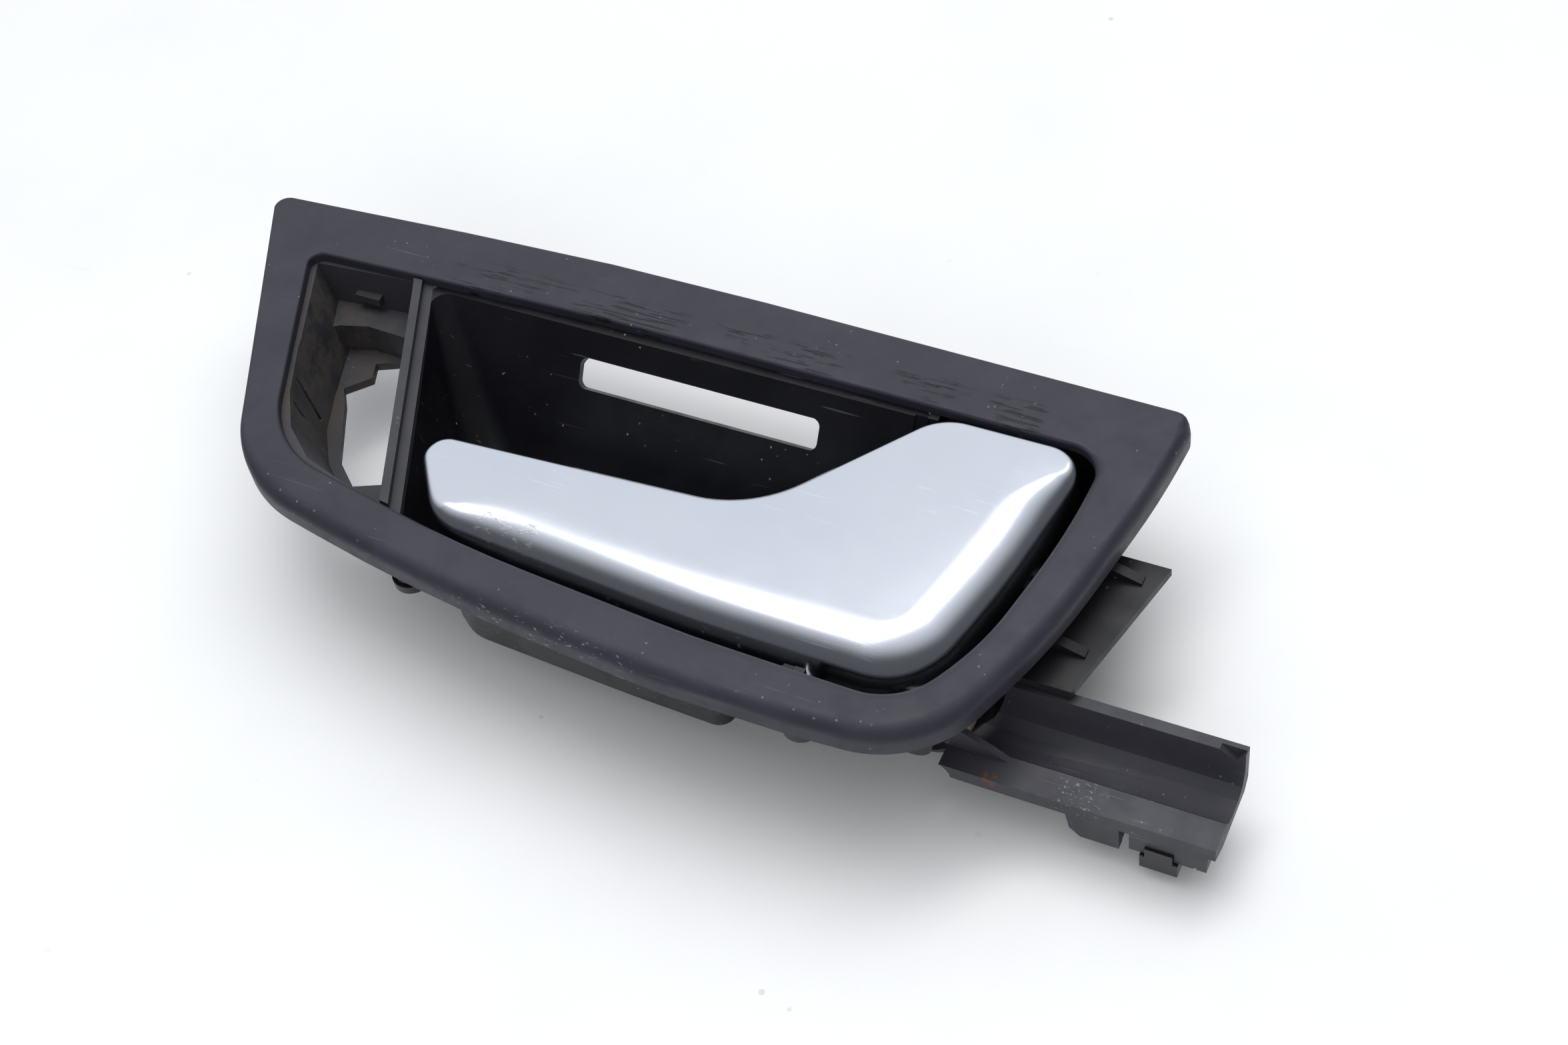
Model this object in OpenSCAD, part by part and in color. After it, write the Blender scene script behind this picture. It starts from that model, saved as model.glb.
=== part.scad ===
// Interior door handle: trim bezel, finger recess, switch collar, sprung lever
// on a cross pin, and a side arm that guides the latch cable.
// The object lies on its back: +X runs towards the cable arm, +Y towards the
// straight top edge, +Z out of the face. Millimetres.

/* [Bezel] */
// Thickness of the bezel from its face to its rim
bezel_t = 6; // [5:0.5:8]
// Wall thickness of the bezel moulding
bezel_wall = 2.4; // [1.8:0.1:2.8]
// Radius that rounds the outer edge of the face
bezel_edge_r = 2.2; // [1:0.1:2.4]

/* [Recess] */
// Depth of the whole part behind the face
depth = 38; // [34:1:42]
// Wall thickness of the recess and its neighbours
wall = 2.2; // [1.6:0.1:2.6]
// Sideways run of the upper wall for each millimetre of depth
upper_slope = 0.72; // [0.6:0.02:0.8]
// Length of the slot in the upper wall
slot_len = 57; // [40:1:60]
// Height of the slot measured down the sloping wall
slot_h = 7; // [5:0.5:8]

/* [Lever] */
// Depth of the plated cover's skirt
cover_t = 9.5; // [8:0.5:11]
// Depth of the black core inside the cover
core_t = 12; // [10:0.5:13]
// Largest edge radius of the cover, along its lower and right edges
lever_edge_big = 7.4; // [6:0.2:7.4]
// Smallest edge radius of the cover, along the finger edge
lever_edge_small = 1.4; // [1:0.1:2]
// Thickness of the cover's skin
cover_wall = 2; // [1.5:0.1:2.2]

/* [Hinge] */
// Distance of the pin from the origin line along the handle
pin_x = 60; // [58:0.5:62]
// Depth of the pin's axis behind the face
pin_depth = 11.5; // [11.2:0.1:12]
// Radius of the hinge pin
pin_r = 2; // [1.5:0.1:2.2]
// Radial running clearance between pin and bushes
run_gap = 0.05; // [0.02:0.01:0.1]
// Outer radius of the bushes
bush_r = 3.2; // [2.8:0.1:3.6]
// Radius of the lever's hubs
hub_r = 5.4; // [5:0.1:5.6]
// Wire radius of the return spring
wire_r = 0.8; // [0.5:0.1:0.9]
// Mean radius of the return spring's coil
coil_r = 5.1; // [4.6:0.1:5.2]
// Turns of the return spring
coil_turns = 5; // [4:1:5]

/* [Cable arm] */
// Where the arm ends
arm_end = 119; // [112:1:124]
// Radius of the cable eye in the crank
eye_r = 2.1; // [1.6:0.1:2.4]

/* [Fixings] */
// Radius of the holes that fix the handle to the door panel
panel_hole_r = 2.75; // [2.2:0.05:3.2]
// Shank radius of the small screws
screw_r = 1.4; // [1.2:0.1:1.5]

/* [Hidden] */
$fn = 48;
arc_step = 9;

// ---------- paths ----------
function unit(v) = v / norm(v);
function flat(p) = [p.x, p.y];

// Arc that rounds corner b, whose third number is its radius.
function corner(a, b, c, steps = undef) =
    let (u = unit(flat(a) - flat(b)), v = unit(flat(c) - flat(b)),
         half = acos(u * v) / 2,
         start = flat(b) + u * b.z / tan(half),
         centre = flat(b) + unit(u + v) * b.z / sin(half),
         from = atan2(start.y - centre.y, start.x - centre.x),
         turn = -sign(cross(u, v)) * (180 - 2 * half),
         n = is_undef(steps) ? max(1, ceil(abs(turn) / arc_step)) : steps)
    [for (i = [0:n]) centre + b.z * [cos(from + turn * i / n), sin(from + turn * i / n)]];

// Closed path through [x, y, radius] corners, listed anticlockwise.
function rounded(pts, steps = undef) = let (n = len(pts))
    [for (i = [0:n - 1]) each corner(pts[(i + n - 1) % n], pts[i], pts[(i + 1) % n], steps)];

function outward(path, i) = let (n = len(path),
    t = unit(path[(i + 1) % n] - path[(i + n - 1) % n])) [t.y, -t.x];

// The same path moved inwards by d.
function inset(path, d) = [for (i = [0:len(path) - 1]) path[i] - d * outward(path, i)];

function at_z(path, z) = [for (p = path) [p.x, p.y, z]];

// Triangles that fill a ring of n points, zigzagging away from point start.
function zigzag(n, start) = [for (k = [0:n - 3])
    let (f = start + ceil(k / 2), b = start - 1 - floor(k / 2) + n)
    k % 2 == 0 ? [f % n, (f + 1) % n, b % n] : [f % n, (b - 1) % n, b % n]];

// Solid through a list of rings with equal point counts, lowest first. A ring
// that isn't convex names the point where the triangles of its ends start.
module loft(rings, start = undef) {
    n = len(rings[0]);
    m = len(rings);
    ends = is_undef(start) ? [[for (i = [0:n - 1]) i]] : zigzag(n, start);
    polyhedron(
        points = [for (ring = rings) each ring],
        faces = concat(
            ends,
            [for (face = ends) [for (k = [len(face) - 1:-1:0]) (m - 1) * n + face[k]]],
            [for (j = [0:m - 2], i = [0:n - 1])
                [j * n + i, (j + 1) * n + i, (j + 1) * n + (i + 1) % n]],
            [for (j = [0:m - 2], i = [0:n - 1])
                [j * n + i, (j + 1) * n + (i + 1) % n, j * n + (i + 1) % n]]));
}

// Straight prism of a path between two heights.
module prism(path, z0, z1) translate([0, 0, z0]) linear_extrude(z1 - z0) polygon(path);

// Moves a shape drawn around the face's own reference point into the part's frame.
module place() translate(origin_shift) children();

// Cylinder along +Y from y0 to y1 through x, z.
module y_rod(x, z, y0, y1, r) translate([x, y1, z]) rotate([90, 0, 0]) cylinder(r = r, h = y1 - y0);

// Cylinder along +X starting at x0 through [y, z].
module x_rod(x0, yz, len, r) translate([x0, yz[0], yz[1]]) rotate([0, 90, 0])
    cylinder(r = r, h = len);

// Cylinder along +Z from z0 to z1.
module z_rod(p, z0, z1, r) translate([p.x, p.y, z0]) cylinder(r = r, h = z1 - z0);

// ---------- outlines ----------
bezel_outline = rounded([
    [-95, -46, 32], [-45, -56.6, 500], [20, -62.6, 300], [66.5, -60.5, 24], [79.5, -26, 150],
    [86.6, 14, 200], [87.9, 33.2, 4], [-46, 35.4, 1000], [-132.5, 30.4, 3]]);
// Moves the middle of the object's footprint to the origin, and its back to z = 0.
bezel_xs = [for (p = bezel_outline) p.x];
bezel_ys = [for (p = bezel_outline) p.y];
origin_shift = [-(min(bezel_xs) + arm_end) / 2, -(min(bezel_ys) + max(bezel_ys)) / 2, depth];
opening_outline = rounded([
    [-103, -10, 300], [-92, -35.6, 26], [-40, -45.8, 300], [15, -50.2, 300], [58, -51.2, 15],
    [67.6, -34, 60], [73.4, -4, 150], [74, 18.1, 7], [-40, 19.1, 900], [-114.3, 16.6, 2.6]]);
lever_outline = rounded([
    [-59.6, -27, 4.6], [-49, -42, 12], [10, -46.4, 300], [60.2, -46.8, 17], [69, -12, 200],
    [71.4, 17, 7.6], [39.2, 17, 12], [12, -17.9, 26], [-57.6, -21.6, 4.6]]);
lever_start = 8;
// Recess mouth and floor, and the well that holds the hinge.
bracket_left = 36;
bowl_right = bracket_left - wall;
floor_top = 18.4 - upper_slope * (depth - wall);
bowl_mouth = rounded([[-84, 18.4, 3], [-57.5, -43.2, 4], [-40, -46, 60], [0, -49.4, 200],
    [bowl_right, -50.6, 0.6], [bowl_right, 18.4, 0.6]], 5);
bowl_floor = rounded([[-65, floor_top, 9], [-50.5, -38, 9], [-36, -40.5, 40],
    [0, -43.6, 60], [bowl_right, -39.8, 0.6], [bowl_right, floor_top, 0.6]], 5);
// Radius-like run of the curve between the recess's walls and its floor.
bowl_cove = 11;
bowl_end_cut = [[-50, 1], [-46.3, -14], [10.2, -14], [19.2, 1]];
well_outline = rounded([
    [38.2, 20, 1], [38.2, -53, 1], [58.8, -53, 15], [69.3, -35, 60],
    [75, -4, 150], [75.6, 20, 7]]);
collar_mouth = [[-113.4, 16], [-103, -9], [-97.6, -21], [-91.6, -30], [-83.6, -36.2],
    [-74, -39.2], [-61, -42.2], [-87.4, 17.8]];
collar_floor = [[-106, 13], [-99.9, -6], [-96, -16], [-90.5, -24], [-84, -29.5],
    [-77, -32], [-68, -33], [-91.5, 14.5]];
collar_flange = [[-117.5, 20.5], [-107, -10], [-101, -24], [-94, -34], [-85, -40.4],
    [-74, -43.4], [-61.5, -46.2], [-60, -42], [-87.4, 17.8], [-87.2, 21.2]];
divider_top = [[-87.6, 17.2], [-61.6, -41.3], [-59.3, -41.6], [-85.2, 17.2]];
divider_z = -0.8;
// Strip beside the divider that closes the gap down to the recess.
divider_foot = [[-87.4, 20.4], [-86.4, 17.2], [-60, -42.4], [-56, -43.2], [-82.8, 17.2],
    [-82.8, 20.4]];
divider_room = [[-98, 24], [-72, -46], [-60, -48], [-56, -43.2], [-82.8, 17.2], [-82.8, 24]];
// Raised ledge beside the switch.
ledge = [[-116, 22], [-84, 22], [-86.5, 8.8], [-98, 9.2], [-104.5, 7.4], [-110, 4]];
ledge_z = -12;
switch_window = [[-99.2, -3.4], [-96.6, -7.2], [-89, -22], [-82, -27.8], [-75.5, -25],
    [-89.6, 8.4], [-96, 5.5], [-94.5, 1.5]];
collar_depth = 20;

// The well's lower side leans in below this height, towards this line.
lean_from = -12;
lean_y = -12;
lean_rate = 0.0154;
function lean(p, z) = let (k = lean_rate * max(0, lean_from - z))
    [p.x, p.y < lean_y ? lean_y + (p.y - lean_y) * (1 - k) : p.y, z];

slope_angle = atan2(1, upper_slope);
slot_x = -15.5;
slot_depth = 10.2;
bulge_outline = rounded([
    [-46, -46.7, 1.5], [-37, -53.2, 10], [0, -55.4, 200], [22.6, -56.2, 3.5], [22.6, -50.3, 1]]);
bulge_hollow = rounded([
    [-38, -49, 0.5], [-34.5, -51.9, 6], [0, -53.8, 200], [21, -54.6, 1.6], [21, -52, 0.5]]);
bulge_low = -21;
// Outer end of the lower ear, with the pin's head let into it.
ear_low = -51.8;
ear_r = 4.5;
head_r = 2.6;
head_t = 1.4;
tab_plate = [[70, 3.5], [70, -30.8], [84.4, -30.8], [92.7, 3.5]];
shelf = [[62, -29.5], [62, -43], [86, -43], [86, -29.5]];
shelf_z = -33;
arm_posts = [[75.5, -34.5], [83, -38.5]];
bracket_screw_points = [[-6.5, -27], [-22, -27]];
stop_x = 46.6;
// Axis of the cable's eye, and the radius of the way through to it.
eye_x = pin_x + 1.5;
eye_z = -26;
eye_way_r = 4.6;
stop_at = [-34, -25];
rest_pad = [38.6, -50.2, 8, 7.4];
rest_pad_low = -16;

// Places of the screws that hold the bezel to the mouldings behind it.
bezel_points = [[-100, 25.5], [-45, 26.5], [10, 26.5], [80, 26.5], [-50, -51.2], [40, -56.5]];
boss_r = 3.2;
// Depth of the underside of the flanges behind the bezel.
flange_low = 4.4;
lug_z = -8;
lug_t = 2;
lever_screw_points = [[-38, -31], [8, -30]];
panel_points = [[-72, 28], [26, 28]];
tower_low = -20;

// ---------- fixed pieces ----------
function bezel_ring(d, z) = at_z(inset(bezel_outline, d), z);
function opening_ring(d, z) = at_z(inset(opening_outline, d), z);

module bezel() color([0.24, 0.24, 0.28]) place() {
    r = bezel_edge_r;
    difference() {
        union() {
            difference() {
                loft(concat([bezel_ring(0, -bezel_t)],
                    [for (a = [0:22.5:90]) bezel_ring(r * (1 - cos(a)), -r * (1 - sin(a)))]));
                prism(inset(bezel_outline, bezel_wall), -bezel_t - 1, -bezel_wall);
            }
            for (p = bezel_points) z_rod(p, lug_z, -bezel_wall + 0.6, boss_r);
            // Towers that take the screws from the door panel.
            for (p = panel_points) z_rod(p, tower_low, -bezel_wall + 0.6, panel_hole_r + 2);
        }
        loft([opening_ring(0, -bezel_t - 1), opening_ring(0, -r),
            opening_ring(-0.3 * r, -0.3 * r), opening_ring(-1.7 * r, 0.3 * r)]);
        for (p = bezel_points) z_rod(p, lug_z - 1, -bezel_wall, screw_r);
        for (p = panel_points) z_rod(p, tower_low - 1, tower_low + 10, panel_hole_r);
    }
}

// Ring of the recess t of the way from mouth to floor, moved outwards by grow.
function bowl_ring(grow, t) = at_z(
    inset(bowl_mouth + (bowl_floor - bowl_mouth) * t, -grow), -(depth - wall) * t);

// Ring on the curve that joins the walls to the floor, u from 0 to 1.
function cove_ring(grow, u) = let (
    wall_ring = bowl_ring(grow, 0.66),
    edge = at_z(inset(bowl_floor, -grow), -(depth - wall) - grow))
    [for (i = [0:len(edge) - 1])
        let (out = outward(bowl_floor, i),
             inner = edge[i] - bowl_cove * (out.x > 0.5 ? 0 : 1) * [out.x, out.y, 0])
        (1 - u) ^ 2 * wall_ring[i] + 2 * u * (1 - u) * edge[i] + u ^ 2 * inner];

// Switch collar's inner space, or that space grown by a wall.
module collar_space(grow, low) loft([
    at_z(inset(collar_floor, -grow), low),
    at_z(inset(collar_mouth, -grow), 0.5)]);

// Tongue under a bezel boss, reaching back to y0, with its screw hole.
module lug(p, y0) {
    r = boss_r + 0.8;
    z_rod(p, lug_z - lug_t, lug_z, r);
    translate([p.x - r + 0.8, min(p.y, y0), lug_z - lug_t])
        cube([2 * r - 1.6, abs(p.y - y0), lug_t]);
}

module lug_hole(p) z_rod(p, lug_z - lug_t - 1, lug_z + 1, screw_r + 0.2);

rim_t = bezel_wall / (depth - wall);
module recess_bowl() color([0.06, 0.06, 0.07]) place() difference() {
    union() {
        // Up the outside of the shell, across its rim and down the inside.
        loft(concat([for (u = [1:-0.2:0]) cove_ring(wall, u)],
            [bowl_ring(wall, rim_t), bowl_ring(0, rim_t)],
            [for (u = [0:0.2:1]) cove_ring(0, u)]));
        // Flange that the bezel presses on.
        difference() {
            prism([for (p = bowl_ring(2.8, rim_t)) flat(p)], -flange_low, -bezel_wall);
            prism([for (p = bowl_ring(0.5, rim_t)) flat(p)], -5, 0);
        }
        difference() {
            prism(bulge_outline, bulge_low, -bezel_t);
            prism(bulge_hollow, bulge_low - 1, -bezel_t - 1.6);
        }
        for (p = [bezel_points[1], bezel_points[2]]) lug(p, 13.4);
        lug(bezel_points[4], -45);
    }
    translate([bowl_right - 0.5, 0, 0]) rotate([90, 0, 90]) linear_extrude(4) polygon(bowl_end_cut);
    translate([bracket_left, -70, -depth - 1]) cube([9, 100, depth + 2]);
    collar_space(wall, -collar_depth - wall);
    prism(divider_room, -flange_low, 0);
    for (i = [1, 2, 4]) lug_hole(bezel_points[i]);
    for (p = bracket_screw_points) x_rod(bowl_right - 1, p, wall + 2, screw_r + 0.2);
    translate([slot_x, 18.4 - upper_slope * slot_depth, -slot_depth])
        rotate([slope_angle, 0, 0]) translate([-slot_len / 2, -slot_h / 2, -5])
            linear_extrude(7) polygon(rounded([
                [0, 0, 1.8], [slot_len, 0, 1.8], [slot_len, slot_h, 1.8], [0, slot_h, 1.8]]));
}

// Narrow cuts that free two snap tongues in the collar's left wall.
module collar_slits() for (y = [-16, -22]) translate([-104, y, -17]) cube([9, 0.9, 13]);

module switch_collar() color([0.2, 0.2, 0.23]) place() difference() {
    union() {
        difference() {
            union() {
                difference() {
                    collar_space(wall, -collar_depth - wall);
                    translate([-140, -70, -bezel_wall]) cube([100, 110, 10]);
                }
                prism(divider_top, -flange_low, divider_z);
                prism(divider_foot, -flange_low, -bezel_wall);
                prism(collar_flange, -flange_low, -bezel_wall);
            }
            collar_space(0, -collar_depth);
        }
        intersection() {
            collar_space(0.5, -collar_depth - 0.5);
            prism(ledge, -collar_depth - 1, ledge_z);
        }
        lug(bezel_points[0], 14);
    }
    prism(switch_window, -collar_depth - 4, -collar_depth + 6);
    lug_hole(bezel_points[0]);
    collar_slits();
}

// Space of the hinge well, moved outwards by grow.
module well(grow, low, high) loft([for (z = [low, lean_from, high])
    [for (p = inset(well_outline, -grow)) lean(p, z)]]);

module bearing_bracket() color([0.12, 0.12, 0.13]) place() difference() {
    union() {
        difference() {
            union() {
                well(wall, -depth, -bezel_wall);
                prism(tab_plate, -14, -12);
                for (fin = [[-2.4, 88.6], [-22.6, 84.2]])
                    translate([0, fin[0] + 2.2, 0]) rotate([90, 0, 0]) linear_extrude(2.2)
                        polygon([[72, -13], [fin[1], -13], [fin[1], -11.4], [fin[1] - 9, -8.5],
                            [72, -8.5]]);
                prism(shelf, shelf_z, shelf_z + 2);
            }
            well(0, -depth + wall, 1);
        }
        // Ears that hold the two ends of the pin.
        y_rod(pin_x, -pin_depth, 14.3, 21, 3.4);
        y_rod(pin_x, -pin_depth, 20.6, 25.5, ear_r);
        y_rod(pin_x, -pin_depth, ear_low, -47, ear_r);
        // Ledge that carries the spring's fixed leg.
        translate([66, -8, -21]) cube([10, 6, 21 - pin_depth - coil_r - wire_r]);
        // Step under the rest buffer.
        intersection() {
            well(1, -depth, -bezel_wall);
            translate([rest_pad[0] - 1, -60, rest_pad_low - 8])
                cube([rest_pad[2] + 1.6, 60 + rest_pad[1] + rest_pad[3], 8]);
        }
        for (p = bracket_screw_points) x_rod(bracket_left + 1, p, 7, 3);
        x_rod(bracket_left + 1, stop_at, 4, 5);
        lug(bezel_points[3], 12);
        lug(bezel_points[5], -54);
    }
    // The left wall stays low so that the lever passes over it.
    translate([bracket_left - 1, -49, -14]) cube([4, 66, 14]);
    // Way in for the cable, and for the pin that joins it to the crank.
    translate([64, -41, -30]) cube([16, 11, 13]);
    y_rod(eye_x, eye_z, -60, -33.2, eye_way_r);
    y_rod(pin_x, -pin_depth, ear_low - 1, 27, pin_r);
    y_rod(pin_x, -pin_depth, ear_low - 1, ear_low + head_t, head_r + 0.1);
    z_rod(bezel_points[5], lug_z, 0, boss_r + 0.1);
    z_rod(bezel_points[5], -12, lug_z - lug_t, 2.8);
    for (i = [3, 5]) lug_hole(bezel_points[i]);
    for (p = bracket_screw_points) x_rod(bracket_left - 1, p, 10, screw_r);
    for (p = arm_posts) z_rod(p, shelf_z - 1, shelf_z + 3, screw_r + 0.2);
}

arm_start = 60;
arm_web = [[89.4, -25], [90.2, -29.8], [92.4, -32], [100.2, -32], [100.2, -25]];
arm_housing = [[102.2, -25], [102.2, -30.6], [114.6, -30.6], [117.4, -28.4], [117.8, -25]];
// Channel cross-section, as [y, z] going round the moulding.
arm_profile = [[-29, -15], [-31.4, -15], [-31.4, -20.5], [-32.6, -23.6], [-35, -25],
    [-38.6, -25], [-41, -24], [-42.4, -22], [-48.7, -22], [-48.7, -25.5], [-44, -27.4],
    [-31, -27.4], [-29, -25]];

module cable_arm() color([0.17, 0.17, 0.18]) place() difference() {
    union() {
        translate([arm_start, 0, 0]) rotate([90, 0, 90])
            linear_extrude(arm_end - arm_start) polygon(arm_profile);
        for (p = arm_posts) z_rod(p, shelf_z + 2, -26, 3.2);
        // Web below the flange and the housing that the retainer slides into.
        translate([0, -46.7, 0]) rotate([90, 0, 0]) linear_extrude(2) {
            polygon(arm_web);
            polygon(arm_housing);
        }
        for (end = [[98.2, -31.4], [102.2, -30.6], [115.4, -30.6]])
            translate([end[0], -48.7, end[1]]) cube([2, 5.7, 6]);
        // Gusset between the bracket and the flange.
        translate([0, -42.4, 0]) rotate([90, 0, 0]) linear_extrude(1.4)
            polygon([[arm_start, -22.5], [arm_start + 17, -22.5], [arm_start, -12]]);
    }
    well(wall + 0.1, -depth - 1, 0);
    y_rod(eye_x, eye_z, -60, -38, eye_way_r);
    // Slanted end of the upper lip.
    translate([arm_end - 1.2, -32, -13]) rotate([0, 35, 0]) cube([4, 4, 8], center = true);
    for (p = arm_posts) z_rod(p, shelf_z - 1, -27.5, screw_r);
    retainer_body(0.05);
}

module retainer_body(gap) translate([105.4 - gap, -49.4 - gap, -31.6 - gap])
    cube([5.6 + 2 * gap, 7.4 + 2 * gap, 3.6 + 2 * gap]);

module cable_retainer() color([0.08, 0.08, 0.09]) place() {
    retainer_body(0);
    translate([104.4, -49.4, -34.6]) cube([7.6, 2.2, 3.9]);
    translate([104.4, -49.4, -34.6]) cube([7.6, 6, 1.6]);
}

// ---------- lever ----------
function clamp01(v) = min(1, max(0, v));
// The roll grows along the lower and right edges, away from the two outer corners.
function edge_r(path, i) = lever_edge_small + (lever_edge_big - lever_edge_small)
    * clamp01((outward(path, i) * [0.6, -0.8] + 0.1) / 0.4)
    * clamp01((17 - path[i].y) / 18) * clamp01((path[i].x + 57) / 24);

// Ring of the lever's skin at angle a up its rolled edge, d inside the outer surface.
function skin_ring(a, d) = [for (i = [0:len(lever_outline) - 1])
    let (r = max(edge_r(lever_outline, i) - d, 0.4),
         p = lever_outline[i] - (d + r * (1 - cos(a))) * outward(lever_outline, i))
    [p.x, p.y, -d - r * (1 - sin(a))]];

skin_angles = [0:15:90];
module lever_skin(d, low) loft(concat(
    [at_z(inset(lever_outline, d), low)], [for (a = skin_angles) skin_ring(a, d)]), lever_start);

module lever_cover() color([0.78, 0.8, 0.84]) place() difference() {
    union() {
        // Down the inside of the skin, across its rim and up the outside.
        loft(concat(
            [for (a = skin_angles) skin_ring(90 - a, cover_wall)],
            [at_z(inset(lever_outline, cover_wall), -cover_t), at_z(lever_outline, -cover_t)],
            [for (a = skin_angles) skin_ring(a, 0)]), lever_start);
        for (p = lever_screw_points) z_rod(p, -6, -cover_wall + 0.5, 2.8);
    }
    for (p = lever_screw_points) z_rod(p, -7, -cover_wall, screw_r);
    y_rod(pin_x, -pin_depth, 13, 20, 4);
}

hub_ends = [14, 6.1];
low_hub_ends = [-10, -16];

module lever_core() color([0.09, 0.09, 0.1]) place() difference() {
    union() {
        lever_skin(cover_wall + 0.05, -core_t);
        y_rod(pin_x, -pin_depth, hub_ends[1], hub_ends[0], hub_r);
        y_rod(pin_x, -pin_depth, low_hub_ends[1], low_hub_ends[0], hub_r);
    }
    // Room for the spring and its moving leg, then for the crank's ring.
    translate([pin_x - 6.8, -6.1, -core_t - 9]) cube([14.2, 12.2, 20]);
    translate([40, 4.2, -pin_depth + coil_r - wire_r - 0.05]) cube([18, 2.1, 8]);
    translate([pin_x - 6.8, -10, -core_t - 9]) cube([14.2, 4, 20]);
    // Way for the pin beyond the hubs.
    y_rod(pin_x, -pin_depth, 13.9, 20, 4);
    y_rod(pin_x, -pin_depth, -50, low_hub_ends[1], pin_r + 0.7);
    translate([pin_x - 6.8, -50, -core_t - 1]) cube([20, 34, core_t - pin_depth + 3]);
    y_rod(pin_x, -pin_depth, -17, 15, bush_r);
    for (p = lever_screw_points) {
        z_rod(p, -6, 0, 2.85);
        z_rod(p, -core_t - 1, -5, screw_r + 0.2);
        z_rod(p, -core_t - 1, -8.5, 3.1);
    }
    // Pockets between the ribs of the grip.
    for (x = [-30:11:-8]) translate([x, -38, -core_t - 1]) cube([9.4, 13, 7]);
    for (x = [14:11:36]) translate([x, -39, -core_t - 1]) cube([9.4, 15, 7]);
    translate([47, -20, -core_t - 1]) cube([5.5, 30, 6]);
}

module cable_crank() color([0.8, 0.79, 0.72]) place() difference() {
    union() {
        y_rod(pin_x, -pin_depth, -10, -6.1, hub_r);
        translate([pin_x - 3, -10, -21.5]) cube([7, 3.9, 21.5 - pin_depth]);
        translate([pin_x - 2, -38, -21.5]) cube([6, 32, 4]);
        translate([pin_x - 2, -38, -26]) cube([6, 4, 6]);
        y_rod(eye_x, eye_z, -38, -34, 4.2);
    }
    y_rod(pin_x, -pin_depth, -11, -5, bush_r);
    y_rod(eye_x, eye_z, -39, -33, eye_r);
}

// ---------- hinge ----------
module tube_y(y0, y1, outer, inner) difference() {
    y_rod(pin_x, -pin_depth, y0, y1, outer);
    y_rod(pin_x, -pin_depth, y0 - 1, y1 + 1, inner);
}

groove = [26.2, 27];
module hinge_pin() color([0.7, 0.7, 0.72]) place() difference() {
    union() {
        y_rod(pin_x, -pin_depth, ear_low + 0.4, 28.4, pin_r);
        y_rod(pin_x, -pin_depth, ear_low, ear_low + head_t, head_r);
    }
    tube_y(groove[0], groove[1], pin_r + 1, pin_r - 0.5);
}

module pin_clip() color([0.55, 0.55, 0.58]) place() difference() {
    tube_y(groove[0], groove[1], 3.8, pin_r - 0.5);
    translate([pin_x, groove[0] - 1, -pin_depth - 0.9]) cube([6, 3, 1.8]);
}

module upper_bush() color([0.9, 0.88, 0.8]) place()
    tube_y(hub_ends[1], hub_ends[0], bush_r, pin_r + run_gap);

module lower_bush() color([0.9, 0.88, 0.8]) place()
    tube_y(low_hub_ends[1], -6.1, bush_r, pin_r + run_gap);

module spring_sleeve() color([0.88, 0.86, 0.8]) place()
    tube_y(-5.9, 5.9, 3.7, pin_r);

// Round wire swept through points that never run along Y.
function wire_ring(path, i) = let (n = len(path),
    t = unit(path[min(i + 1, n - 1)] - path[max(i - 1, 0)]),
    u = unit(cross(t, [0, 1, 0])), v = cross(t, u))
    [for (k = [0:7]) path[i] + wire_r * (cos(45 * k) * u + sin(45 * k) * v)];

coil_pitch = 1.75;
coil_step = 20;
spring_path = let (low_y = -coil_turns * coil_pitch / 2, base = -pin_depth)
    concat(
        [[pin_x + 14, low_y, base - coil_r], [pin_x + 7, low_y, base - coil_r]],
        [for (a = [0:coil_step:360 * coil_turns + 180])
            [pin_x - coil_r * sin(a), low_y + coil_pitch * a / 360, base - coil_r * cos(a)]],
        [[pin_x - 7, -low_y + coil_pitch / 2, base + coil_r],
            [pin_x - 16, -low_y + coil_pitch / 2, base + coil_r]]);

module return_spring() color([0.6, 0.6, 0.62]) place()
    loft([for (i = [0:len(spring_path) - 1]) wire_ring(spring_path, i)]);

module rest_buffer() color([0.1, 0.1, 0.1]) place()
    translate([rest_pad[0], rest_pad[1], rest_pad_low])
        cube([rest_pad[2], rest_pad[3], -core_t - 0.1 - rest_pad_low]);

module open_buffer() color([0.1, 0.1, 0.1]) place()
    x_rod(bracket_left + 5, stop_at, stop_x - bracket_left - 5, 3.6);

// ---------- fasteners ----------
// Screw with its head's seat at the origin and its shank along +Z.
module screw(len) {
    translate([0, 0, -1.7]) cylinder(r = 2.6, h = 1.7);
    cylinder(r = screw_r, h = len);
}

module bezel_screws() color([0.5, 0.5, 0.52]) place()
    for (p = bezel_points) translate([p.x, p.y, lug_z - lug_t]) screw(lug_t + 5.4);

module bracket_screws() color([0.5, 0.5, 0.52]) place()
    for (p = bracket_screw_points)
        translate([bracket_left - wall, p[0], p[1]]) rotate([0, 90, 0]) screw(8.5);

module arm_screws() color([0.5, 0.5, 0.52]) place()
    for (p = arm_posts) translate([p.x, p.y, shelf_z]) screw(5.2);

module lever_screws() color([0.5, 0.5, 0.52]) place()
    for (p = lever_screw_points) translate([p.x, p.y, -8.5]) screw(6.3);

bezel();
recess_bowl();
switch_collar();
bearing_bracket();
cable_arm();
cable_retainer();
lever_cover();
lever_core();
cable_crank();
hinge_pin();
pin_clip();
upper_bush();
lower_bush();
spring_sleeve();
return_spring();
rest_buffer();
open_buffer();
bezel_screws();
bracket_screws();
arm_screws();
lever_screws();
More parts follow.
